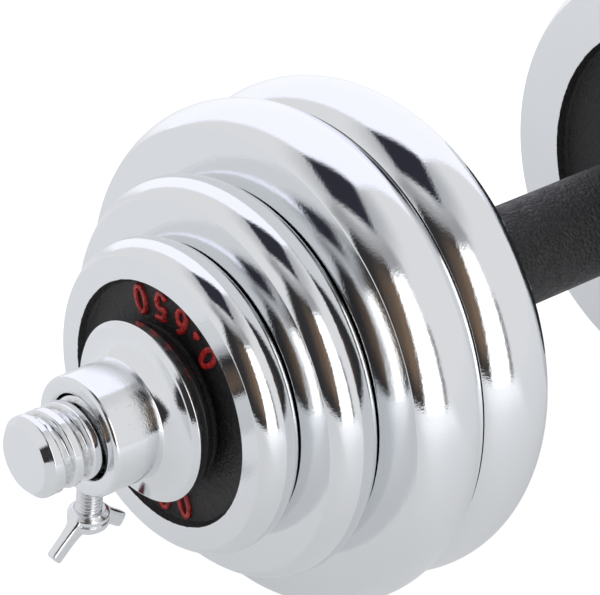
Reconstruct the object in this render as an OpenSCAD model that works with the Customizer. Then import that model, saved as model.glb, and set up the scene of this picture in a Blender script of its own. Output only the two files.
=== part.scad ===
// Adjustable dumbbell: a threaded steel bar with a rubber grip, four cast plates a side,
// and at each end a flanged slip-on collar that a wing screw locks on the thread.
// The bar lies along X, its centre is the origin, and +Z is up.

/* [Bar] */
// Length of the bar over its two end faces
bar_len = 412; // [370:1:500]
// Radius of the bar over the thread crests
bar_r = 12.5; // [10:0.1:15]
// Length of the threaded stretch, measured in from the end band
thread_len = 112; // [60:1:120]
// Distance from one thread crest to the next
thread_pitch = 6.5; // [5:0.5:10]
// Depth of the thread groove
thread_depth = 1.7; // [0.8:0.1:2.4]
// Width of the thread groove at the crest
groove_w = 3.8; // [2:0.1:4.8]
// Width of the plain band between the thread and the end face
end_band = 4; // [3:0.5:12]
// Chamfer at the rim of the end face
end_chamfer = 2; // [0.5:0.1:3]

/* [Grip] */
// Length of the rubber grip
grip_len = 129; // [110:1:160]
// Outer radius of the rubber grip
grip_r = 17.3; // [15.5:0.1:22]
// Rounding at the ends of the grip
grip_round = 1.8; // [0.5:0.1:3]
// Width of each stop ring
ring_w = 6; // [4:0.5:12]
// Outer radius of each stop ring
ring_r = 19.5; // [17:0.1:26]

/* [Plates] */
// Outer radius of a large plate
large_r = 80; // [74:0.5:110]
// Width of a large plate's rim
large_w = 26.1; // [16:0.1:30]
// Radius where a large plate's flat face meets its crowned rim
large_edge_r = 75.2; // [70:0.1:100]
// Radius of the painted recess in a large plate's face
large_recess_r = 57; // [40:0.5:68]
// Depth of the recess in a large plate's face
large_recess_depth = 3.6; // [1:0.1:6]
// Outer radius of a medium plate
medium_r = 63.2; // [61:0.1:75]
// Width of a medium plate's rim
medium_w = 18.1; // [12:0.1:21]
// Radius where a medium plate's flat face meets its crowned rim
medium_edge_r = 58.8; // [56:0.1:62]
// Radius of the painted recess in a medium plate's face
medium_recess_r = 45; // [32:0.5:54]
// Depth of the recess in a medium plate's face
medium_recess_depth = 2.8; // [1:0.1:5]
// Outer radius of a small plate
small_r = 49.3; // [48.5:0.1:62]
// Width of a small plate's rim
small_w = 15.1; // [12:0.1:18]
// Radius where a small plate's flat face meets its crowned rim
small_edge_r = 45.8; // [44:0.1:48]
// Radius of the painted recess in a small plate's face
small_recess_r = 38.5; // [30:0.5:42]
// Depth of the recess in a small plate's face
small_recess_depth = 2.4; // [1:0.1:4]
// Radius of the plate hubs
hub_r = 23.2; // [20:0.1:27]
// How far each hub face stands proud of the rim face
hub_proud = 0.15; // [0.1:0.05:2]
// Radial play between the bar and the plate bores
plate_play = 0.8; // [0.3:0.1:2]
// Chamfer at the mouth of each plate bore
bore_chamfer = 1; // [0.3:0.1:2]
// Sideways slope of the recess walls
recess_draft = 1.2; // [0.2:0.1:2.5]

/* [Collars] */
// Length of a collar along the bar
collar_len = 25.8; // [21:0.1:32]
// Outer radius of the collar's sleeve
sleeve_r = 18.6; // [17.5:0.1:22]
// Outer radius of the collar's flange
flange_r = 28.1; // [25:0.1:34]
// Width of the straight rim of the flange
flange_rim_w = 3.1; // [2:0.1:5]
// Bevel between the flange's rim and its sloping face
flange_bevel = 1.4; // [0.5:0.1:2.5]
// Distance from the collar's rear face to where the sleeve leaves the flange
flange_depth = 8.7; // [6:0.1:10]
// Radial play between the bar and the collar's bore
collar_play = 0.8; // [0.3:0.1:2]
// Rounding at the front rim of the sleeve
sleeve_round = 1.2; // [0.3:0.1:2]
// Thickness of the rubber washer behind a collar
washer_t = 3.2; // [1.5:0.1:6]
// Outer radius of the rubber washer
washer_r = 26.7; // [24:0.1:33]

/* [Wing screws] */
// Thread radius of the lock screw
screw_r = 4; // [3:0.1:5]
// Distance from the collar's front face to the lock screw's axis
screw_inset = 6; // [5.5:0.1:9]
// Length of stud that shows between the sleeve and the wing head
screw_show = 9.4; // [7:0.1:12]
// Radius of the wing head's boss
boss_r = 6.3; // [5.5:0.1:8]
// Height of the wing head's boss
boss_h = 7.2; // [6:0.1:12]
// Depth that the stud reaches into the boss
stud_depth = 5.4; // [3:0.1:5.6]
// Length of a wing measured along its slope
wing_len = 12.2; // [8:0.1:16]
// Width of a wing in its own plane
wing_w = 5; // [3:0.1:6]
// Thickness of a wing
wing_t = 3.6; // [2:0.1:5]
// Angle at which the wings slope away from the collar
wing_slope = 38; // [20:1:55]
// Angle of the wings about the screw, away from the bar's own direction
wing_turn = -9; // [-90:1:90]

/* [Clearances] */
// Gap between neighbouring faces in the stack
stack_gap = 0.15; // [0.05:0.05:0.5]
// Radial gap around the bar in the pieces that are fixed on it
fixed_gap = 0.05; // [0.02:0.01:0.1]
// Radial gap between the stud and the holes it turns in
stud_gap = 0.05; // [0.02:0.01:0.1]
// Gap between the locked screw's tip and the thread crests
tip_gap = 0.1; // [0.05:0.01:0.3]

/* [Hidden] */
$fn = 96;

chrome = "gainsboro";
rubber = [0.12, 0.12, 0.13];
steel = "silver";

root_r = bar_r - thread_depth;
groove_flank = thread_depth * 0.7;           // axial width of each sloping side of a groove
turns = floor(thread_len / thread_pitch);
plate_bore_r = bar_r + plate_play;
collar_bore_r = bar_r + collar_play;
large_t = large_w + 2 * hub_proud;           // thickness over the hub faces
medium_t = medium_w + 2 * hub_proud;
small_t = small_w + 2 * hub_proud;

// Distances from the bar's centre to the inner face of each piece, from the grip outwards
ring_x = grip_len / 2;
large_inner_x = ring_x + ring_w + stack_gap;
large_outer_x = large_inner_x + large_t + stack_gap;
medium_x = large_outer_x + large_t + stack_gap;
small_x = medium_x + medium_t + stack_gap;
washer_x = small_x + small_t + stack_gap;
collar_x = washer_x + washer_t + stack_gap;
screw_x = collar_x + collar_len - screw_inset;

boss_z = sleeve_r + screw_show;              // distance from the bar's axis to the boss
boss_bevel = 1;
boss_groove = 0.5;                           // depth and half width of the ring cut in the boss
wing_root_r = boss_r - 1.6;                  // where a wing's centre line starts, from the screw
wing_root_z = boss_h - 3;                    // how far down the boss that start is
ring_bevel = 0.8;
washer_bevel = 0.5;
tip_bevel = 1.4;

// Turns a profile drawn as [radius, distance along the bar] about the bar's axis
module turned() {
    rotate([0, 90, 0]) rotate_extrude() children();
}

// Places what is drawn on the +X side on the side asked for
module on(side) {
    if (side == "left") mirror([1, 0, 0]) children();
    else children();
}

// A straight ring with bevelled edges
module ring(inner_r, outer_r, width, bevel) {
    turned() polygon([
        [inner_r, 0], [outer_r - bevel, 0], [outer_r, bevel],
        [outer_r, width - bevel], [outer_r - bevel, width], [inner_r, width]
    ]);
}

// Half of the bar's outline, from its centre to one end face
function bar_outline() = concat(
    [for (i = [turns - 1 : -1 : 0]) let (a = bar_len / 2 - end_band - groove_w - i * thread_pitch)
        each [
            [bar_r, a], [root_r, a + groove_flank],
            [root_r, a + groove_w - groove_flank], [bar_r, a + groove_w]
        ]
    ],
    [[bar_r, bar_len / 2 - end_chamfer], [bar_r - end_chamfer, bar_len / 2], [0, bar_len / 2]]
);

module bar() {
    half = bar_outline();
    other_half = [for (i = [len(half) - 1 : -1 : 0]) [half[i][0], -half[i][1]]];
    color(chrome) turned() polygon(concat(half, other_half));
}

module grip_sleeve() {
    color(rubber) translate([-grip_len / 2, 0, 0])
        turned() difference() {
            union() {
                translate([0, grip_round]) square([grip_r, grip_len - 2 * grip_round]);
                square([grip_r - grip_round, grip_len]);
                for (x = [grip_round, grip_len - grip_round])
                    translate([grip_r - grip_round, x]) circle(r = grip_round);
            }
            translate([0, -1]) square([bar_r + fixed_gap, grip_len + 2]);
        }
}

module stop_ring(side) {
    on(side) color(chrome) translate([ring_x, 0, 0])
        ring(bar_r + fixed_gap, ring_r, ring_w, ring_bevel);
}

// A cast plate: hub, recessed web, flat face ring and a rim crowned as one arc
module plate(side, inner_x, outer_r, width, edge_r, recess_r, recess_depth) {
    thickness = width + 2 * hub_proud;
    floor_x = hub_proud + recess_depth;
    crown = outer_r - edge_r;
    crown_r = (pow(crown, 2) + pow(width / 2, 2)) / (2 * crown);
    half = [
        [plate_bore_r, bore_chamfer], [plate_bore_r + bore_chamfer, 0], [hub_r, 0],
        [hub_r + recess_draft, floor_x], [recess_r - recess_draft, floor_x],
        [recess_r, hub_proud], [edge_r, hub_proud]
    ];
    other_half = [for (i = [len(half) - 1 : -1 : 0]) [half[i][0], thickness - half[i][1]]];
    on(side) color(chrome) translate([inner_x, 0, 0])
        turned() union() {
            polygon(concat(half, other_half));
            intersection() {
                translate([edge_r - 0.5, hub_proud]) square([crown + 1, width]);
                translate([outer_r - crown_r, thickness / 2]) circle(r = crown_r);
            }
        }
}

module large_plate(side, inner_x) {
    plate(side, inner_x, large_r, large_w, large_edge_r, large_recess_r, large_recess_depth);
}

module medium_plate(side) {
    plate(side, medium_x, medium_r, medium_w, medium_edge_r, medium_recess_r, medium_recess_depth);
}

module small_plate(side) {
    plate(side, small_x, small_r, small_w, small_edge_r, small_recess_r, small_recess_depth);
}

module washer(side) {
    on(side) color(rubber) translate([washer_x, 0, 0])
        ring(collar_bore_r, washer_r, washer_t, washer_bevel);
}

// A sleeve on a flange whose face slopes back to a straight rim, bored for the bar
// and drilled through its lower wall for the lock screw
module collar(side) {
    on(side) color(chrome) difference() {
        translate([collar_x, 0, 0]) turned() polygon([
            [collar_bore_r, 0], [flange_r - flange_bevel / 2, 0], [flange_r, flange_bevel / 2],
            [flange_r, flange_rim_w], [flange_r - flange_bevel, flange_rim_w + flange_bevel],
            [sleeve_r, flange_depth], [sleeve_r, collar_len - sleeve_round],
            [sleeve_r - sleeve_round, collar_len], [collar_bore_r + collar_play, collar_len],
            [collar_bore_r, collar_len - collar_play]
        ]);
        translate([screw_x, 0, -sleeve_r - 1])
            cylinder(h = sleeve_r + 1 - bar_r, r = screw_r + stud_gap);
    }
}

module lock_screw(side) {
    tip_z = bar_r + tip_gap;
    end_z = boss_z + stud_depth;
    on(side) color(steel) translate([screw_x, 0, 0]) mirror([0, 0, 1])
        rotate_extrude() polygon([
            [0, tip_z], [screw_r - tip_bevel, tip_z], [screw_r, tip_z + tip_bevel],
            [screw_r, end_z], [0, end_z]
        ]);
}

module wing() {
    translate([wing_root_r, 0, wing_root_z]) rotate([0, -wing_slope, 0]) {
        translate([0, -wing_t / 2, -wing_w / 2]) cube([wing_len - wing_w / 2, wing_t, wing_w]);
        translate([wing_len - wing_w / 2, wing_t / 2, 0]) rotate([90, 0, 0])
            cylinder(h = wing_t, r = wing_w / 2);
    }
}

// A round boss with a ring cut in it and two wings, drawn upwards and turned over
module wing_head(side) {
    on(side) color(chrome) translate([screw_x, 0, 0]) mirror([0, 0, 1]) translate([0, 0, boss_z])
        difference() {
            union() {
                rotate_extrude() polygon([
                    [0, 0], [boss_r - boss_bevel, 0], [boss_r, boss_bevel],
                    [boss_r, boss_h / 3], [boss_r - boss_groove, boss_h / 3 + boss_groove],
                    [boss_r, boss_h / 3 + 2 * boss_groove], [boss_r, boss_h - 2 * boss_bevel],
                    [boss_r - 2 * boss_bevel, boss_h], [0, boss_h]
                ]);
                for (turn = [0, 180]) rotate([0, 0, wing_turn + turn]) wing();
            }
            translate([0, 0, -1]) cylinder(h = stud_depth + 1 + stud_gap, r = screw_r + stud_gap);
        }
}

bar();
grip_sleeve();
stop_ring("left");  // stop_ring_left
stop_ring("right");  // stop_ring_right
large_plate("left", large_inner_x);  // large_plate_inner_left
large_plate("left", large_outer_x);  // large_plate_outer_left
medium_plate("left");  // medium_plate_left
small_plate("left");  // small_plate_left
washer("left");  // washer_left
collar("left");  // collar_left
lock_screw("left");  // lock_screw_left
wing_head("left");  // wing_head_left
large_plate("right", large_inner_x);  // large_plate_inner_right
large_plate("right", large_outer_x);  // large_plate_outer_right
medium_plate("right");  // medium_plate_right
small_plate("right");  // small_plate_right
washer("right");  // washer_right
collar("right");  // collar_right
lock_screw("right");  // lock_screw_right
wing_head("right");  // wing_head_right
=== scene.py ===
import math

import bmesh
import bpy
import numpy as np
from mathutils import Matrix, Vector


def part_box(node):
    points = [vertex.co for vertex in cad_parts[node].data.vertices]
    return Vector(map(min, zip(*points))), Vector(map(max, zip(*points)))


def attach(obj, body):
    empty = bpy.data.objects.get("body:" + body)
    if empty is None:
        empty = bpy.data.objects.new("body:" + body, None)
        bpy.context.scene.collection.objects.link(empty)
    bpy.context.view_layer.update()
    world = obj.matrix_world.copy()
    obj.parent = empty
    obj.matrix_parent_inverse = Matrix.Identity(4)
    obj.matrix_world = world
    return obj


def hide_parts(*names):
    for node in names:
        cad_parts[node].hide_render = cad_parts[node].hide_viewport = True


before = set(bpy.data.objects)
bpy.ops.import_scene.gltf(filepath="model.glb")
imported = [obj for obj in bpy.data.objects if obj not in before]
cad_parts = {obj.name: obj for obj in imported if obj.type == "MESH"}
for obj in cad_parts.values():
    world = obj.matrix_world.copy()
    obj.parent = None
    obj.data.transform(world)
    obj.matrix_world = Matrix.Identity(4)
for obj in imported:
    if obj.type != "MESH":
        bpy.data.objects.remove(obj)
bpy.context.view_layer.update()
mm = 0.001
sides = {"left": -1, "right": 1}
chromeTint = (0.85, 0.865, 0.88, 1)
print("frame loaded:", len(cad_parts), "nodes")


def finishMesh(name, points, quads, sharp=38):
    # merges what coincides, so seams and poles close, and turns every face outwards
    mesh = bpy.data.meshes.new(name)
    mesh.from_pydata(points, [], quads)
    work = bmesh.new()
    work.from_mesh(mesh)
    bmesh.ops.remove_doubles(work, verts=work.verts, dist=0.0008 * mm)
    bmesh.ops.recalc_face_normals(work, faces=work.faces)
    work.to_mesh(mesh)
    work.free()
    mesh.polygons.foreach_set("use_smooth", np.ones(len(mesh.polygons), bool))
    mesh.set_sharp_from_angle(angle=math.radians(sharp))
    piece = bpy.data.objects.new(name, mesh)
    bpy.context.scene.collection.objects.link(piece)
    return piece


def gridFaces(rows, columns, start=0):
    # quads between neighbouring rows and columns of a grid of points numbered row by row
    at = start + np.arange(rows * columns).reshape(rows, columns)
    return np.stack([at[:-1, :-1], at[1:, :-1], at[1:, 1:], at[:-1, 1:]], -1).reshape(-1, 4)


def gridPiece(name, x, y, z, sharp=38):
    # one closed surface from three equal arrays of coordinates in metres
    points = np.stack([x, y, z], -1)
    return finishMesh(name, points.reshape(-1, 3), gridFaces(*x.shape), sharp)


def roundedPath(corners, steps=7, guard=0.03, loop=False):
    # corners are (x, r, radius): each becomes the arc that touches both its sides,
    # p = c + slerp(v0, v1, t), with a guard point just outside each end so that flats stay flat
    flat = np.array([c[:2] for c in corners], float)
    count = len(corners)
    path = []
    for i, (x, r, radius) in enumerate(corners):
        here = flat[i]
        if radius == 0 or (not loop and i in (0, count - 1)):
            path.append(here[None])
            continue
        a = flat[i - 1] - here
        b = flat[(i + 1) % count] - here
        spanA, spanB = np.linalg.norm(a), np.linalg.norm(b)
        a, b = a / spanA, b / spanB
        half = math.acos(np.clip(a @ b, -1, 1)) / 2
        reach = min(radius / math.tan(half), 0.45 * spanA, 0.45 * spanB)
        radius = reach * math.tan(half)
        mid = (a + b) / np.linalg.norm(a + b)
        centre = here + mid * radius / math.sin(half)
        v0, v1 = here + a * reach - centre, here + b * reach - centre
        sweep = math.pi - 2 * half
        t = np.linspace(0, 1, steps)[:, None]
        arc = centre + (np.sin((1 - t) * sweep) * v0 + np.sin(t * sweep) * v1) / math.sin(sweep)
        room = min(guard, 0.04 * spanA, 0.04 * spanB)
        path.append(np.vstack([here + a * (reach + room), arc, here + b * (reach + room)]))
    return np.vstack(path)


def revolve(name, path, turns=192, side=1, sharp=38):
    # p(u, a) = (x(u), r(u) cos a, r(u) sin a), a from 0 to 2 pi; path is in millimetres
    a = np.linspace(0, 2 * math.pi, turns + 1)[:, None]
    x = np.broadcast_to(side * path[:, 0], (turns + 1, len(path)))
    return gridPiece(name, x * mm, path[:, 1] * np.cos(a) * mm, path[:, 1] * np.sin(a) * mm, sharp)


def closed(path):
    return np.vstack([path, path[:1]])


def put(piece, body, slotName, material, *nodes):
    # gives a piece its finish and its body, and hides the CAD nodes that it stands for
    piece.data.materials.append(material)
    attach(piece, body)
    if nodes:
        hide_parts(*nodes)
    return piece


def reach(node):
    # distance of a node's inner and outer face from the bar's middle, and its radius, in millimetres
    low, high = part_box(node)
    return min(abs(low.x), abs(high.x)) / mm, max(abs(low.x), abs(high.x)) / mm, high.y / mm


def addNode(tree, kind, inputs=None, **settings):
    made = tree.nodes.new(kind)
    for key, value in settings.items():
        setattr(made, key, value)
    for key, value in (inputs or {}).items():
        socket = made.inputs[key]
        if isinstance(value, bpy.types.NodeSocket):
            tree.links.new(value, socket)
        else:
            socket.default_value = value
    return made


def mathNode(tree, operation, a, b=0.0, c=0.0, clamp=False):
    made = addNode(tree, "ShaderNodeMath", {0: a, 1: b, 2: c}, operation=operation, use_clamp=clamp)
    return made.outputs[0]


def remap(tree, value, fromMin, fromMax, toMin, toMax, shape="SMOOTHSTEP"):
    return addNode(tree, "ShaderNodeMapRange", {
        "Value": value, "From Min": fromMin, "From Max": fromMax, "To Min": toMin, "To Max": toMax,
    }, interpolation_type=shape).outputs[0]


def mixColour(tree, share, a, b):
    made = addNode(tree, "ShaderNodeMix", data_type="RGBA")
    for index, value in ((0, share), (6, a), (7, b)):
        if isinstance(value, bpy.types.NodeSocket):
            tree.links.new(value, made.inputs[index])
        else:
            made.inputs[index].default_value = value
    return made.outputs[2]


def noise(tree, where, scale, detail=3.0, rough=0.5, warp=0.0):
    return addNode(tree, "ShaderNodeTexNoise", {
        "Vector": where, "Scale": scale, "Detail": detail, "Roughness": rough, "Distortion": warp,
    }).outputs["Fac"]


def newGroup(name, inputs, outputs):
    # inputs are (name, default) and outputs are names, all of them single values
    tree = bpy.data.node_groups.new(name, "ShaderNodeTree")
    for label, value in inputs:
        socket = tree.interface.new_socket(name=label, in_out="INPUT", socket_type="NodeSocketFloat")
        socket.default_value = value
    for label in outputs:
        tree.interface.new_socket(name=label, in_out="OUTPUT", socket_type="NodeSocketFloat")
    start = tree.nodes.new("NodeGroupInput")
    end = tree.nodes.new("NodeGroupOutput")
    where = tree.nodes.new("ShaderNodeTexCoord").outputs["Object"]
    return tree, start.outputs, end.inputs, where


def makeCastSkin():
    # height of a plated casting: a slow ripple under a fine grain, sizes given per metre
    tree, given, out, where = newGroup("castSkin", [
        ("Grain Scale", 1100.0), ("Grain", 0.5), ("Ripple Scale", 160.0), ("Ripple", 1.0)], ["Height"])
    fine = mathNode(tree, "MULTIPLY", noise(tree, where, given["Grain Scale"], 4, 0.6), given["Grain"])
    wave = noise(tree, where, given["Ripple Scale"], 2, 0.4)
    slow = mathNode(tree, "MULTIPLY", wave, given["Ripple"])
    tree.links.new(mathNode(tree, "ADD", fine, slow), out["Height"])
    return tree


def makePolish():
    # roughness that wanders with smears and fingerprints, and a mask of fine rubbed marks
    tree, given, out, where = newGroup("polish", [
        ("Low", 0.03), ("High", 0.12), ("Smear Scale", 45.0)], ["Roughness", "Marks"])
    smear = noise(tree, where, given["Smear Scale"], 5, 0.62, 0.8)
    share = remap(tree, smear, 0.42, 0.68, 0.0, 1.0)
    span = mathNode(tree, "SUBTRACT", given["High"], given["Low"])
    tree.links.new(mathNode(tree, "MULTIPLY_ADD", share, span, given["Low"]), out["Roughness"])
    stretched = addNode(tree, "ShaderNodeMapping", {"Vector": where, "Scale": (260.0, 3000.0, 2200.0)})
    marks = remap(tree, noise(tree, stretched.outputs[0], 1.0, 2, 0.5), 0.66, 0.74, 0.0, 1.0)
    tree.links.new(marks, out["Marks"])
    return tree


def makeGrime():
    # 1 in the bottoms of the threads and 0 on the crests and past End, broken up by noise
    tree, given, out, where = newGroup("grime", [
        ("Root", 0.0108), ("Crest", 0.0122), ("End", 0.1993)], ["Mask"])
    parts = addNode(tree, "ShaderNodeSeparateXYZ", {0: where}).outputs
    flatPart = addNode(tree, "ShaderNodeCombineXYZ", {"Y": parts["Y"], "Z": parts["Z"]}).outputs[0]
    radius = addNode(tree, "ShaderNodeVectorMath", {0: flatPart}, operation="LENGTH").outputs["Value"]
    depth = remap(tree, radius, given["Root"], given["Crest"], 1.0, 0.0)
    broken = remap(tree, noise(tree, where, 420.0, 4, 0.6), 0.35, 0.65, 0.35, 1.0)
    threaded = mathNode(tree, "LESS_THAN", mathNode(tree, "ABSOLUTE", parts["X"]), given["End"])
    spread = mathNode(tree, "MULTIPLY", depth, broken)
    tree.links.new(mathNode(tree, "MULTIPLY", spread, threaded), out["Mask"])
    return tree


castSkin, polish, grime = makeCastSkin(), makePolish(), makeGrime()


def newFinish(name):
    finish = bpy.data.materials.new(name)
    finish.use_nodes = True
    tree = finish.node_tree
    tree.nodes.clear()
    shader = tree.nodes.new("ShaderNodeBsdfPrincipled")
    out = tree.nodes.new("ShaderNodeOutputMaterial")
    tree.links.new(shader.outputs[0], out.inputs[0])
    return finish, tree, shader


def useGroup(tree, group, **inputs):
    made = tree.nodes.new("ShaderNodeGroup")
    made.node_tree = group
    for key, value in inputs.items():
        made.inputs[key.replace("_", " ")].default_value = value
    return made.outputs


def bump(tree, shader, height, distance):
    made = addNode(tree, "ShaderNodeBump", {"Height": height, "Distance": distance, "Strength": 1.0})
    tree.links.new(made.outputs[0], shader.inputs["Normal"])


def setShader(shader, **values):
    for key, value in values.items():
        shader.inputs[key.replace("_", " ")].default_value = value


def chromeFinish(name, low, high, grainScale, grain, ripple, lift, tint=chromeTint):
    # bright plating: grain, slow ripple, smears and rubbed marks
    finish, tree, shader = newFinish(name)
    worn = useGroup(tree, polish, Low=low, High=high)
    skin = useGroup(tree, castSkin, Grain_Scale=grainScale, Grain=grain, Ripple=ripple)
    setShader(shader, Metallic=1.0)
    dull = (tint[0] * 0.9, tint[1] * 0.9, tint[2] * 0.9, 1)
    tree.links.new(mixColour(tree, worn["Marks"], tint, dull), shader.inputs["Base Color"])
    tree.links.new(worn["Roughness"], shader.inputs["Roughness"])
    bump(tree, shader, skin["Height"], lift)
    return finish


def plateFinish():
    # plated casting with satin black paint where the mesh attribute paintDepth is above zero
    finish, tree, shader = newFinish("chromedCasting")
    worn = useGroup(tree, polish, Low=0.012, High=0.05)
    skin = useGroup(tree, castSkin, Grain_Scale=1300.0, Grain=0.9, Ripple=1.0, Ripple_Scale=110.0)
    pitted = useGroup(tree, castSkin, Grain_Scale=1500.0, Grain=1.0, Ripple=0.8, Ripple_Scale=420.0)
    where = tree.nodes.new("ShaderNodeTexCoord").outputs["Object"]
    depth = addNode(tree, "ShaderNodeAttribute", attribute_name="paintDepth").outputs["Fac"]
    ragged = remap(tree, noise(tree, where, 500.0, 4, 0.7), 0.0, 1.0, -0.5, 0.5, "LINEAR")
    mask = remap(tree, mathNode(tree, "ADD", depth, ragged), -0.04, 0.04, 0.0, 1.0)
    dusty = remap(tree, noise(tree, where, 1300.0, 5, 0.75), 0.5, 0.8, 0.0, 1.0)
    black = mixColour(tree, dusty, (0.007, 0.007, 0.008, 1), (0.042, 0.042, 0.042, 1))
    tree.links.new(mixColour(tree, mask, chromeTint, black), shader.inputs["Base Color"])
    tree.links.new(mathNode(tree, "SUBTRACT", 1.0, mask), shader.inputs["Metallic"])
    satin = remap(tree, dusty, 0.0, 1.0, 0.36, 0.6, "LINEAR")
    rough = addNode(tree, "ShaderNodeMix", {0: mask, 2: worn["Roughness"], 3: satin}).outputs[0]
    tree.links.new(rough, shader.inputs["Roughness"])
    fine = mathNode(tree, "MULTIPLY", skin["Height"], 0.027)
    coarse = mathNode(tree, "MULTIPLY", pitted["Height"], 0.5)
    height = addNode(tree, "ShaderNodeMix", {0: mask, 2: fine, 3: coarse}).outputs[0]
    bump(tree, shader, height, 1.0 * mm)
    return finish


def threadFinish():
    # plated steel thread with grime low in the groove
    finish, tree, shader = newFinish("chromedThread")
    worn = useGroup(tree, polish, Low=0.05, High=0.16, Smear_Scale=160.0)
    skin = useGroup(tree, castSkin, Grain_Scale=1600.0, Grain=0.6, Ripple=1.0, Ripple_Scale=300.0)
    dirt = useGroup(tree, grime)["Mask"]
    share = mathNode(tree, "MULTIPLY", dirt, 0.45)
    dirty = mixColour(tree, share, chromeTint, (0.16, 0.145, 0.13, 1))
    tree.links.new(dirty, shader.inputs["Base Color"])
    setShader(shader, Metallic=1.0)
    rough = mathNode(tree, "MULTIPLY_ADD", dirt, 0.12, worn["Roughness"])
    tree.links.new(rough, shader.inputs["Roughness"])
    bump(tree, shader, skin["Height"], 0.012 * mm)
    return finish


def rubberFinish(name, dark, light, grainScale, lift, roughLow, roughHigh):
    # moulded rubber: a net of small creases round raised cells, rubbed smoother in patches; its colour
    # carries painted shade, darker down in the creases than on the raised cells, and is lighter in the
    # rubbed patches
    finish, tree, shader = newFinish(name)
    where = tree.nodes.new("ShaderNodeTexCoord").outputs["Object"]
    warp = addNode(tree, "ShaderNodeTexNoise", {
        "Vector": where, "Scale": grainScale * 0.6, "Detail": 2.0}).outputs["Color"]
    moved = addNode(tree, "ShaderNodeMix", {0: 0.0012, 4: where, 5: warp}, data_type="VECTOR")
    cells = addNode(tree, "ShaderNodeTexVoronoi", {
        "Vector": moved.outputs[1], "Scale": grainScale, "Randomness": 1.0,
    }, feature="SMOOTH_F1").outputs["Distance"]
    domes = remap(tree, cells, 0.0, 0.75, 1.0, 0.0)
    fine = noise(tree, where, grainScale * 3.2, 3, 0.6)
    height = mathNode(tree, "MULTIPLY_ADD", fine, 0.35, domes)
    patches = remap(tree, noise(tree, where, 240.0, 4, 0.6), 0.3, 0.75, 0.3, 1.0)
    # painted shade: the colour darkens from the tops of the raised cells down into the creases, and the
    # rubbed patches lighten it
    share = mathNode(tree, "MULTIPLY", domes, patches)
    tree.links.new(mixColour(tree, share, dark, light), shader.inputs["Base Color"])
    tree.links.new(remap(tree, patches, 0.0, 1.0, roughHigh, roughLow), shader.inputs["Roughness"])
    bump(tree, shader, height, lift)
    return finish


def redPaintFinish():
    # brushed red paint on raised figures, worn thin so that the black shows through
    finish, tree, shader = newFinish("redPaint")
    where = tree.nodes.new("ShaderNodeTexCoord").outputs["Object"]
    thin = remap(tree, noise(tree, where, 700.0, 5, 0.7, 0.6), 0.50, 0.62, 0.0, 1.0)
    uneven = noise(tree, where, 260.0, 3)
    tone = mixColour(tree, uneven, (0.40, 0.009, 0.010, 1), (0.72, 0.030, 0.026, 1))
    tree.links.new(mixColour(tree, thin, tone, (0.035, 0.012, 0.012, 1)), shader.inputs["Base Color"])
    tree.links.new(remap(tree, thin, 0.0, 1.0, 0.2, 0.45), shader.inputs["Roughness"])
    skin = useGroup(tree, castSkin, Grain_Scale=1400.0, Grain=1.0, Ripple_Scale=500.0, Ripple=1.6)
    bump(tree, shader, skin["Height"], 0.3 * mm)
    return finish


plating = plateFinish()
threadPlating = threadFinish()
collarPlating = chromeFinish(
    "chromedCollar", low=0.05, high=0.2, grainScale=1500.0, grain=0.9, ripple=1.0, lift=0.03 * mm)
castPlating = chromeFinish(
    "chromedWing", low=0.09, high=0.2, grainScale=1500.0, grain=1.0, ripple=0.8, lift=0.05 * mm)
zincPlating = chromeFinish(
    "zincScrew", low=0.12, high=0.25, grainScale=2500.0, grain=1.0, ripple=0.5, lift=0.02 * mm,
    tint=(0.78, 0.79, 0.80, 1))
gripRubber = rubberFinish(
    "gripRubber", dark=(0.008, 0.008, 0.009, 1), light=(0.034, 0.034, 0.036, 1),
    grainScale=900.0, lift=0.4 * mm, roughLow=0.42, roughHigh=0.6)
washerRubber = rubberFinish(
    "washerRubber", dark=(0.010, 0.010, 0.011, 1), light=(0.022, 0.022, 0.024, 1),
    grainScale=1700.0, lift=0.05 * mm, roughLow=0.26, roughHigh=0.42)
redPaint = redPaintFinish()
print("finishes made")


bar = {
    "pitch": 6.5,
    "threadLength": 112,
    "endBand": 4.0,        # plain stretch between the thread and the end face
    "phase": 2.4,          # shift of the thread along the bar
    "fade": 1.4,           # length over which the groove runs out
    "chamfer": (2.4, 2.3), # of the end face's rim, across and along
    "chamferRound": 0.6,
    "grooveShape": [       # distance along one pitch, depth of the groove there
        (0, 0.04), (0.3, 0), (1.3, 0.1), (2.3, 0), (2.55, 0.06), (2.8, 0.4), (3.15, 1.25),
        (3.4, 1.58), (3.75, 1.7), (5.35, 1.7), (5.7, 1.58), (5.95, 1.25), (6.3, 0.35), (6.5, 0.04)],
    "segments": 132,
}


def threadColumns(start, end, radius, v, a):
    # x = start + s + phase + pitch a / 2 pi, kept between start and end, and
    # r = radius - groove(x - phase - pitch a / 2 pi) smoothstep(distance to the nearer end / fade)
    along, deep = np.array(v["grooveShape"], float).T
    pitch = v["pitch"]
    count = math.ceil((end - start) / pitch) + 2
    s = (along[:-1] + pitch * np.arange(-2, count)[:, None]).ravel()
    turn = v["phase"] + pitch * a / (2 * math.pi)
    x = np.clip(start + s + turn, start, end)
    groove = np.interp((x - start - turn) % pitch, along, deep)
    t = np.clip(np.minimum(x - start, end - x) / v["fade"], 0, 1)
    return x, radius - groove * t * t * (3 - 2 * t)


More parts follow.
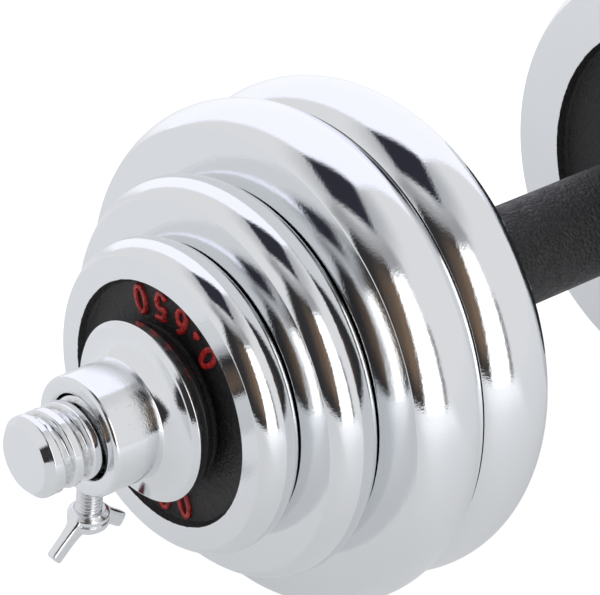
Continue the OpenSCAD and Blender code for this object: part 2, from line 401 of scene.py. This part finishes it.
def makeBar():
    halfLength, radius = reach("bar")[1:]
    v = bar
    a = np.linspace(0, 2 * math.pi, v["segments"] + 1)[:, None]
    across, along = v["chamfer"]
    cap = roundedPath([(halfLength, 0, 0), (halfLength, radius - across, v["chamferRound"]),
                       (halfLength - along, radius, v["chamferRound"]),
                       (halfLength - v["endBand"], radius, 0)], steps=6)
    outerEnd = halfLength - v["endBand"]
    columns = []
    for direction in (-1, 1):
        start, end = sorted((direction * outerEnd, direction * (outerEnd - v["threadLength"])))
        x, r = threadColumns(start, end, radius, v, a)
        rim = np.broadcast_to(direction * cap[::direction * -1, 0], (len(a), len(cap)))
        rimR = np.broadcast_to(cap[::direction * -1, 1], rim.shape)
        if direction < 0:
            columns += [(rim[:, ::-1], rimR[:, ::-1]), (x, r)]
        else:
            columns += [(x, r), (rim, rimR)]
    x = np.hstack([c[0] for c in columns])
    r = np.hstack([c[1] for c in columns])
    piece = gridPiece("threaded_bar", x * mm, r * np.cos(a) * mm, r * np.sin(a) * mm, 50)
    put(piece, "bar", "chrome_bar", threadPlating, "bar")


makeBar()
print("bar made")


grip = {"inner": 12.55, "endRound": 1.8, "sag": 0.15, "segments": 160}
stopRing = {"inner": 12.55, "round": 0.9, "segments": 144}


def makeGrip():
    # a sleeve whose outside swells very slightly: r(x) = R - sag (x / half)^4
    halfLength, radius = reach("grip_sleeve")[1:]
    v = grip
    x = np.linspace(-1, 1, 41) * (halfLength - v["endRound"] - 0.1)
    swell = np.stack([x, radius - v["sag"] * (x / halfLength) ** 4], -1)
    low = radius - v["sag"]
    left = roundedPath([(0, v["inner"], 0), (-halfLength, v["inner"], 0.4),
                        (-halfLength, low, v["endRound"]), (x[0], low, 0)])
    right = left[::-1] * (-1, 1)
    piece = revolve("rubber_grip", closed(np.vstack([left[:-1], swell, right[1:]])), v["segments"])
    put(piece, "bar", "grip_rubber", gripRubber, "grip_sleeve")


def makeStopRing(side):
    v = stopRing
    node = f"stop_ring_{side}"
    inner, outer, radius = reach(node)
    path = roundedPath([(inner, v["inner"], 0.3), (inner, radius, v["round"]),
                        (outer, radius, v["round"]), (outer, v["inner"], 0.3)], loop=True)
    piece = revolve(f"grip_stop_ring_{side}", closed(path), v["segments"], sides[side])
    put(piece, "bar", "chrome_bar", collarPlating, node)


makeGrip()
for side in sides:
    makeStopRing(side)
print("grip and stop rings made")


plates = {
    "small_plate": {"edge": 45.8, "recess": 38.5, "depth": 2.4, "number": "0.650"},
    "medium_plate": {"edge": 58.8, "recess": 45.0, "depth": 2.8, "number": "1.250"},
    "large_plate_outer": {"edge": 75.2, "recess": 57.0, "depth": 3.6, "number": "3.000"},
    "large_plate_inner": {"edge": 75.2, "recess": 57.0, "depth": 3.6, "number": "3.000"},
}
casting = {
    "bore": 13.3,
    "boreChamfer": 1.0,
    "hub": 23.2,
    "hubProud": 0.15,
    "draft": 1.2,          # sideways slope of the recess walls
    "edgeRound": 0.4,      # rounding between the flat face and the crowned rim
    "lipRound": 0.45,      # rounding at the mouth of the recess
    "crownSteps": 36,
    "segments": 224,
}


def platePath(kind, half, radius):
    # half the outline, from the bore to the top of the crown, x measured from the plate's middle;
    # the crown is the arc through both rim edges and the crest, R = (h^2 + w^2) / 2h
    v, c = plates[kind], casting
    rimFace = half - c["hubProud"]
    floorX = rimFace - v["depth"]
    rise = radius - v["edge"]
    crownR = (rise ** 2 + rimFace ** 2) / (2 * rise)
    centreR = radius - crownR
    p = c["edgeRound"]
    filletR = centreR + math.sqrt((crownR - p) ** 2 - (rimFace - p) ** 2)
    tilt = math.atan2(rimFace - p, filletR - centreR)
    face = roundedPath([
        (0, c["bore"], 0), (half - c["boreChamfer"], c["bore"], 0.4),
        (half, c["bore"] + c["boreChamfer"], 0.4), (half, c["hub"], 0.6),
        (floorX, c["hub"] + c["draft"], 1.0), (floorX, v["recess"] - c["draft"], 1.3),
        (rimFace, v["recess"], c["lipRound"]), (rimFace, filletR, 0)])
    turn = np.linspace(math.pi / 2, tilt, 9)
    fillet = np.stack([rimFace - p + p * np.sin(turn), filletR + p * np.cos(turn)], -1)
    turn = np.linspace(tilt, 0, c["crownSteps"] // 2 + 1)[1:]
    crown = np.stack([crownR * np.sin(turn), centreR + crownR * np.cos(turn)], -1)
    guard = np.array([[rimFace, filletR - 0.03]])
    return np.vstack([face[:-1], guard, fillet, crown]), rimFace


def makePlate(kind, side):
    node = f"{kind}_{side}"
    inner, outer, radius = reach(node)
    middle, half = (inner + outer) / 2, (outer - inner) / 2
    path, rimFace = platePath(kind, half, radius)
    whole = np.vstack([path, path[-2::-1] * (-1, 1)])
    piece = revolve(f"chromed_{node}", whole + (middle, 0), casting["segments"], sides[side])
    coords = np.empty(len(piece.data.vertices) * 3)
    piece.data.vertices.foreach_get("co", coords)
    x, y, z = coords.reshape(-1, 3).T / mm
    r = np.hypot(y, z)
    # paintDepth is how far a point lies inside the painted recess, in millimetres
    fall = np.maximum(rimFace - np.abs(np.abs(x) - middle), 0)
    inside = plates[kind]["recess"] - r + fall * (r > plates[kind]["recess"] - 3)
    inside = np.where(r < casting["bore"] + 0.2, -3, inside)
    attribute = piece.data.attributes.new("paintDepth", "FLOAT", "POINT")
    attribute.data.foreach_set("value", np.clip(inside, -6, 6).astype(np.float32))
    put(piece, node, "chrome_plate", plating, node)


for kind in plates:
    for side in sides:
        makePlate(kind, side)
print("plates made")


figure = {
    "height": 8.2,
    "width": 4.9,
    "stroke": 0.9,         # half width of a stroke
    "rise": 0.95,          # how far a stroke stands off the recess floor
    "inset": 5.3,          # from the recess wall to the middle of the figures
    "advance": 9.4,        # along the arc from one figure to the next
    "pointAdvance": 4.6,   # the same for a decimal point
    "groups": (95, 275),   # angle of the middle of each group round the plate
}


def bow(cx, cy, rx, ry, start, stop, count=13):
    # points on an ellipse from one angle to another, in degrees
    t = np.radians(np.linspace(start, stop, count))
    return np.stack([cx + rx * np.cos(t), cy + ry * np.sin(t)], -1)


# Each figure is one stroke in a box 1 wide and 1 high, its middle at (0, 0)
strokes = {
    "0": bow(0, 0, 0.42, 0.5, 90, 450, 33),
    "1": np.array([(-0.2, 0.3), (0.08, 0.5), (0.08, -0.5)]),
    "2": np.vstack([bow(0, 0.2, 0.38, 0.3, 160, -40), [(-0.4, -0.5), (0.42, -0.5)]]),
    "3": np.vstack([bow(-0.02, 0.25, 0.36, 0.25, 150, -80), bow(-0.02, -0.22, 0.4, 0.28, 80, -150)]),
    "5": np.vstack([[(0.36, 0.5), (-0.3, 0.5), (-0.36, 0.06)],
                    bow(-0.02, -0.18, 0.4, 0.32, 130, -150, 17)]),
    "6": np.vstack([bow(0.3, 0.0, 0.7, 0.52, 115, 180, 9), bow(0, -0.18, 0.4, 0.32, 180, 540, 25)]),
    ".": bow(0, -0.14, 0.1, 0.06, 0, 360),
}


def strokeGrid(line, halfWidth, rise):
    # a half round bead on a flat line: p = c(u) + w(u) (cos b n + ...), b from 0 to pi,
    # and the bead narrows to a point over its own half width at each end
    line = np.asarray(line, float)
    step = np.linalg.norm(np.diff(line, axis=0), axis=1)
    total = np.concatenate([[0], np.cumsum(step)])
    ends = np.array([0, 0.08, 0.3, 0.6, 1.0]) * halfWidth
    u = np.concatenate([
        ends - halfWidth, np.linspace(0, total[-1], 40)[1:-1], total[-1] + halfWidth - ends[::-1]])
    inner = np.clip(u, 0, total[-1])
    centre, ahead, behind = (
        np.stack([np.interp(np.clip(inner + shift, 0, total[-1]), total, line[:, k]) for k in (0, 1)], -1)
        for shift in (0, 0.1, -0.1))
    run = ahead - behind
    run /= np.linalg.norm(run, axis=1)[:, None]
    centre = centre + run * (u - inner)[:, None]
    share = np.sqrt(np.clip(1 - (np.abs(u - inner) / halfWidth) ** 2, 0, 1))
    b = np.linspace(0, 2 * math.pi, 17)
    wide = np.sign(np.cos(b)) * np.abs(np.cos(b)) ** 0.75
    high = np.where(np.sin(b) > 0, np.abs(np.sin(b)) ** 0.6, -0.4 * np.abs(np.sin(b)))
    across = np.stack([-run[:, 1], run[:, 0]], -1)
    flat = centre[:, None] + across[:, None] * (halfWidth * share[:, None] * wide)[..., None]
    return flat[..., 0], flat[..., 1], rise * share[:, None] * high


def makeNumbers(kind, side):
    # each figure's own (across, up) is turned to its place on the arc of radius R
    v = figure
    node = f"{kind}_{side}"
    outer = reach(node)[1]
    arcR = plates[kind]["recess"] - casting["draft"] - v["inset"]
    floorX = outer - casting["hubProud"] - plates[kind]["depth"]
    points, faces, count = [], [], 0
    text = plates[kind]["number"]
    advances = np.array([v["pointAdvance"] if mark == "." else v["advance"] for mark in text])
    places = np.cumsum(advances) - advances / 2 - advances.sum() / 2
    for group in v["groups"]:
        for place, mark in zip(places, text):
            angle = math.radians(group) + sides[side] * place / arcR
            line = strokes[mark] * (v["width"], v["height"])
            across, up, high = strokeGrid(line, v["stroke"], v["rise"])
            r = arcR - up
            y = r * math.cos(angle) - sides[side] * across * math.sin(angle)
            z = r * math.sin(angle) + sides[side] * across * math.cos(angle)
            x = sides[side] * (floorX + high)
            points.append(np.stack([x, y, z], -1).reshape(-1, 3) * mm)
            faces.append(gridFaces(*x.shape, start=count))
            count += x.size
    piece = finishMesh(f"raised_numbers_{node}", np.vstack(points), np.vstack(faces), 60)
    put(piece, node, "chrome_plate", redPaint)


for kind in plates:
    for side in sides:
        makeNumbers(kind, side)
print("numbers made")


washer = {"inner": 13.3, "round": 1.1, "segments": 176}
collar = {
    "bore": 13.1,
    "flangeRim": 3.1,
    "flangeDepth": 8.7,
    "sleeve": 18.6,
    "dome": -0.7,          # how far the flange's sloping face bulges, hollow below zero
    "rimDrop": 1.4,
    "creaseRound": 1.3,
    "footRound": 0.9,
    "mouth": 1.6,          # rounding where the bore meets the front face
    "frontRound": 1.7,
    "holePlay": 0.15,
    "segments": 224,
}


def makeWasher(side):
    v = washer
    node = f"washer_{side}"
    inner, outer, radius = reach(node)
    path = roundedPath([(inner, v["inner"], 0.4), (inner, radius, v["round"]),
                        (outer, radius, v["round"]), (outer, v["inner"], 0.4)], loop=True)
    piece = revolve(f"rubber_{node}", closed(path), v["segments"], sides[side])
    put(piece, node, "washer_rubber", washerRubber, node)


def cutHole(piece, x, radius, top, bottom):
    # drills a round vertical hole and drops the cutter
    a = np.linspace(0, 2 * math.pi, 65)[:, None]
    z = np.array([top, top, bottom, bottom])
    r = np.array([0, radius, radius, 0])
    cutter = gridPiece("cutter", (x + r * np.cos(a)) * mm, r * np.sin(a) * mm, (z + 0 * a) * mm)
    bore = piece.modifiers.new("hole", "BOOLEAN")
    bore.object, bore.operation, bore.solver = cutter, "DIFFERENCE", "EXACT"
    made = piece.evaluated_get(bpy.context.evaluated_depsgraph_get())
    piece.data = bpy.data.meshes.new_from_object(made)
    piece.modifiers.clear()
    bpy.data.objects.remove(cutter)
    piece.data.polygons.foreach_set("use_smooth", np.ones(len(piece.data.polygons), bool))
    piece.data.set_sharp_from_angle(angle=math.radians(38))


def makeCollar(side):
    v = collar
    node = f"collar_{side}"
    rear, front, flange = reach(node)
    crease = (rear + v["flangeRim"] + v["rimDrop"], flange - v["rimDrop"])
    foot = (rear + v["flangeDepth"], v["sleeve"])
    t = np.linspace(0, 1, 9)[1:-1]
    bulge = v["dome"] * 4 * t * (1 - t)
    dome = [(crease[0] + (foot[0] - crease[0]) * s + h,
             crease[1] + (foot[1] - crease[1]) * s + h * 0.5, 0) for s, h in zip(t, bulge)]
    sleeveRows = [(x, v["sleeve"], 0) for x in np.arange(foot[0] + 1, front - v["frontRound"] - 1, 1)]
    path = roundedPath([
        (rear, v["bore"], 0.4), (rear, flange, 0.5), (rear + v["flangeRim"], flange, 0.6),
        (*crease, v["creaseRound"]), *dome, (*foot, v["footRound"]), *sleeveRows,
        (front, v["sleeve"], v["frontRound"]), (front, v["bore"], v["mouth"])], loop=True)
    piece = revolve(f"chromed_{node}", closed(path), v["segments"], sides[side])
    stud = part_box(f"lock_screw_{side}")
    studX = (stud[0].x + stud[1].x) / 2 / mm
    holeR = (stud[1].y - stud[0].y) / 2 / mm + v["holePlay"]
    cutHole(piece, studX, holeR, -v["bore"] + 1, -v["sleeve"] - 2)
    put(piece, node, "chrome_collar", collarPlating, node)


for side in sides:
    makeWasher(side)
    makeCollar(side)
print("washers and collars made")


stud = {
    "pitch": 1.25,
    "phase": 0.0,
    "fade": 0.8,
    "grooveShape": [
        (0, 0), (0.12, 0), (0.22, 0.1), (0.56, 0.62), (0.69, 0.62), (1.03, 0.1), (1.13, 0), (1.25, 0)],
    "tipRound": 1.2,
    "segments": 48,
}
wing = {
    "slope": 38,           # fall of each wing away from the collar
    "turn": -9,            # angle of the wings about the screw, away from the bar's direction
    "rootOut": 4.7,        # where a wing's centre line starts, from the screw
    "rootDown": 4.2,       # how far down the boss that start is
    "length": 12.2,
    "halfWidth": 2.5,
    "halfThick": 1.8,
    "flare": 0.8,          # how much fatter a wing is where it leaves the boss
    "flareReach": 2.2,
    "endRound": 0.7,
    "bossRadius": 6.3,
    "bossHeight": 7.2,
    "bossNeck": 4.9,
}


def screwBox(side):
    low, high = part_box(f"lock_screw_{side}")
    return (low.x + high.x) / 2 / mm, high.y / mm, high.z / mm, low.z / mm


def makeStud(side):
    v = stud
    x0, radius, top, bottom = screwBox(side)
    a = np.linspace(0, 2 * math.pi, v["segments"] + 1)[:, None]
    along, r = threadColumns(bottom, top - v["tipRound"], radius, v, a)
    tip = roundedPath([
        (top - v["tipRound"], radius, 0), (top, radius - v["tipRound"], 0.3), (top, 0, 0)])
    along = np.hstack([bottom + 0 * a, along, tip[:, 0] + 0 * a])
    r = np.hstack([0 * a, r, tip[:, 1] + 0 * a])
    name = f"lock_screw_{side}"
    piece = gridPiece(f"threaded_{name}", (x0 + r * np.cos(a)) * mm, r * np.sin(a) * mm, along * mm, 50)
    put(piece, name, "screw_steel", zincPlating, name)


def wingGrid(direction):
    # a rounded box bar: |y / a|^4 + |z / b|^4 = 1 carried along a straight line,
    # a and b swollen by flare exp(-s / flareReach) near the boss, with a rounded square end
    v = wing
    turn = np.linspace(0, math.pi / 2, 7)
    s = np.concatenate([[-2.5], np.linspace(-2.4, v["length"] - v["endRound"], 26),
                        v["length"] - v["endRound"] * (1 - np.sin(turn[1:])), [v["length"]]])
    inset = np.concatenate([np.zeros(27), v["endRound"] * (1 - np.cos(turn[1:])), [0]])
    fat = v["flare"] * np.exp(-np.maximum(s, 0) / v["flareReach"])
    b = np.linspace(0, 2 * math.pi, 49)
    cosB, sinB = np.cos(b), np.sin(b)
    radius = (cosB ** 4 + sinB ** 4) ** -0.25
    wide = (v["halfWidth"] + fat - inset)[:, None] * radius * cosB
    thick = (v["halfThick"] + fat - inset)[:, None] * radius * sinB
    wide[[0, -1]], thick[[0, -1]] = 0, 0
    fall = math.radians(v["slope"])
    out = v["rootOut"] + s[:, None] * math.cos(fall) - wide * math.sin(fall)
    down = v["rootDown"] + s[:, None] * math.sin(fall) + wide * math.cos(fall)
    heading = math.radians(v["turn"]) + (0 if direction > 0 else math.pi)
    return (out * math.cos(heading) - thick * math.sin(heading),
            out * math.sin(heading) + thick * math.cos(heading), down)


def makeWingHead(side):
    v = wing
    x0, radius = screwBox(side)[:2]
    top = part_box(f"wing_head_{side}")[1].z / mm
    bossR, bossH = v["bossRadius"], v["bossHeight"]
    path = roundedPath([
        (0, radius - 0.3, 0), (0, v["bossNeck"], 0.4), (1.3, bossR, 0.7), (2.5, bossR, 0.35),
        (2.9, bossR - 0.5, 0.2), (3.3, bossR, 0.35), (5.1, bossR, 1.0),
        (bossH, bossR - 2.2, 0.9), (bossH, 0, 0)])
    a = np.linspace(0, 2 * math.pi, 97)[:, None]
    path = np.vstack([[(0, 0)], path])
    boss = (path[:, 1] * np.cos(a), path[:, 1] * np.sin(a), path[:, 0] + 0 * a)
    points, faces, count = [], [], 0
    for x, y, down in (boss, wingGrid(1), wingGrid(-1)):
        points.append(np.stack([x0 + sides[side] * x, y, top - down], -1).reshape(-1, 3) * mm)
        faces.append(gridFaces(*x.shape, start=count))
        count += x.size
    piece = finishMesh(f"cast_wing_head_{side}", np.vstack(points), np.vstack(faces), 40)
    put(piece, f"wing_head_{side}", "chrome_collar", castPlating, f"wing_head_{side}")


for side in sides:
    makeStud(side)
    makeWingHead(side)
print("screws made")


stage = {
    "floorSize": 8.0,
    "floorColour": (0.5, 0.5, 0.5, 1),
    "floorLift": 0.38,                 # even glow that fills the shadows
    "floorGlow": 0.45,                 # lifts the floor itself to white, and not its reflections
    "floorPools": [                    # azimuth from and to, distance over which it rises, light
        (-124, -72, 0.12, 0.90, 0.26), (8, 88, 0.15, 0.70, 0.25), (100, 170, 0.05, 0.30, 0.06)],
    "wall": (0.80, 0.80, 0.81, 1),     # light from wherever no panel stands
    "seen": (1.0, 1.0, 1.0, 1),        # what the camera itself sees past the floor
}
# The studio round the object, each panel laid over the ones before it:
# azimuth from and to, height from and to, softness of both (all in degrees), light
panels = [
    (-180, 180, 62, 120, 1, 14, (0.46, 0.47, 0.49, 1)),    # upper wall
    (9, 88, -30, 69, 2, 3, (1.07, 1.07, 1.20, 1)),         # large softbox
    (-190, -72, 53, 69, 9, 6, (0.36, 0.36, 0.37, 1)),      # shade above the dark panel
    (-220, -120, 71, 80, 12, 3, (0.62, 0.62, 0.63, 1)),    # light arc under the ceiling
    (-166, -110, -14, 60, 3, 5, (0.035, 0.034, 0.036, 1)),  # dark panel
    (-138, -111, 12, 54, 10, 10, (0.12, 0.09, 0.07, 1)),   # its brown middle
    (-123, -111, 8, 48, 5, 9, (0.21, 0.145, 0.10, 1)),     # lighter beside the strip
    (-110, -81, -14, 53, 2, 3, (1.8, 1.8, 1.8, 1)),         # strip light
    (-79, -74, -14, 31, 1, 3, (0.25, 0.25, 0.25, 1)),       # stand beside the strip
]
ceiling = {
    "middle": (0.0, 0.1),     # of the dark diamond overhead, as x / z and y / z
    "half": (0.37, 0.41),     # from its middle to its corners
    "soft": 0.12,
    "colour": (0.03, 0.03, 0.042, 1),
}
view = {
    "lens": 163.8,
    "azimuth": -44.6,
    "elevation": 33.2,
    "roll": -6.4,
    "target": (-0.095, 0.009, 0.010),
    "distance": 0.839,
}


def panelMask(tree, value, low, high, soft, turn=False):
    # 1 between low and high, falling smoothly to 0 over twice the softness; turn is for an
    # azimuth, whose difference is wrapped to half a turn either way
    middle, half = (low + high) / 2, (high - low) / 2
    away = mathNode(tree, "SUBTRACT", value, middle)
    if turn:
        away = mathNode(tree, "WRAP", away, 180.0, -180.0)
    return remap(tree, mathNode(tree, "ABSOLUTE", away), half - soft, half + soft, 1.0, 0.0)


def makeFloor():
    v = stage
    ground = -reach("large_plate_inner_left")[2] * mm
    s = v["floorSize"] / 2
    mesh = bpy.data.meshes.new("floor")
    corners = [(-s, -s, ground), (s, -s, ground), (s, s, ground), (-s, s, ground)]
    mesh.from_pydata(corners, [], [(0, 1, 2, 3)])
    floor = bpy.data.objects.new("floor", mesh)
    bpy.context.scene.collection.objects.link(floor)
    finish, tree, shader = newFinish("paleFloor")
    where = tree.nodes.new("ShaderNodeTexCoord").outputs["Object"]
    shade = mixColour(tree, noise(tree, where, 3.0, 4), (0.48, 0.48, 0.48, 1), v["floorColour"])
    tree.links.new(shade, shader.inputs["Base Color"])
    setShader(shader, Roughness=0.6, Emission_Color=(0.965, 0.985, 1.0, 1))
    parts = addNode(tree, "ShaderNodeSeparateXYZ", {0: where}).outputs
    azimuth = mathNode(tree, "DEGREES", mathNode(tree, "ARCTAN2", parts["Y"], parts["X"]))
    distance = addNode(tree, "ShaderNodeVectorMath", {0: where}, operation="LENGTH").outputs["Value"]
    glow = v["floorLift"]
    for left, right, near, far, light in v["floorPools"]:
        pool = mathNode(tree, "MULTIPLY", panelMask(tree, azimuth, left, right, 7, True),
                        remap(tree, distance, near, far, 0.0, light))
        glow = mathNode(tree, "ADD", pool, glow)
    direct = tree.nodes.new("ShaderNodeLightPath").outputs["Is Camera Ray"]
    glow = mathNode(tree, "MULTIPLY_ADD", direct, v["floorGlow"], glow)
    tree.links.new(glow, shader.inputs["Emission Strength"])
    mesh.materials.append(finish)


def makeWorld():
    world = bpy.data.worlds.new("studio")
    world.use_nodes = True
    tree = world.node_tree
    back = tree.nodes["Background"]
    toward = tree.nodes.new("ShaderNodeTexCoord").outputs["Generated"]
    parts = addNode(tree, "ShaderNodeSeparateXYZ", {0: toward}).outputs
    azimuth = mathNode(tree, "DEGREES", mathNode(tree, "ARCTAN2", parts["Y"], parts["X"]))
    height = mathNode(tree, "DEGREES", mathNode(tree, "ARCSINE", parts["Z"]))
    light = stage["wall"]
    for left, right, low, high, softSide, softEnd, colour in panels:
        mask = panelMask(tree, height, low, high, softEnd)
        if right - left < 360:
            across = panelMask(tree, azimuth, left, right, softSide, True)
            mask = mathNode(tree, "MULTIPLY", mask, across)
        light = mixColour(tree, mask, light, colour)
    up = mathNode(tree, "MAXIMUM", parts["Z"], 0.01)
    away = []
    for axis, middle, half in zip("XY", ceiling["middle"], ceiling["half"]):
        offset = mathNode(tree, "SUBTRACT", mathNode(tree, "DIVIDE", parts[axis], up), middle)
        away.append(mathNode(tree, "DIVIDE", mathNode(tree, "ABSOLUTE", offset), half))
    diamond = mathNode(tree, "ADD", *away)
    mask = remap(tree, diamond, 1 - ceiling["soft"], 1 + ceiling["soft"], 1.0, 0.0)
    light = mixColour(tree, mask, light, ceiling["colour"])
    direct = tree.nodes.new("ShaderNodeLightPath").outputs["Is Camera Ray"]
    tree.links.new(mixColour(tree, direct, light, stage["seen"]), back.inputs["Color"])
    bpy.context.scene.world = world


def makeCamera():
    v = view
    a, e, roll = (math.radians(v[k]) for k in ("azimuth", "elevation", "roll"))
    back = Vector((math.sin(a) * math.cos(e), -math.cos(a) * math.cos(e), math.sin(e)))
    levelRight = Vector((math.cos(a), math.sin(a), 0))
    levelUp = back.cross(levelRight)
    up = levelUp * math.cos(roll) + levelRight * math.sin(roll)
    right = up.cross(back)
    lens = bpy.data.cameras.new("camera")
    lens.lens, lens.sensor_width = v["lens"], 36
    lens.clip_start, lens.clip_end = 0.01, 50
    camera = bpy.data.objects.new("camera", lens)
    camera.matrix_world = Matrix.Translation(Vector(v["target"]) + back * v["distance"]) @ Matrix(
        (right, up, back)).transposed().to_4x4()
    bpy.context.scene.collection.objects.link(camera)
    bpy.context.scene.camera = camera


makeFloor()
makeWorld()
makeCamera()
bpy.context.scene.view_settings.view_transform = "Standard"
print("stage made")
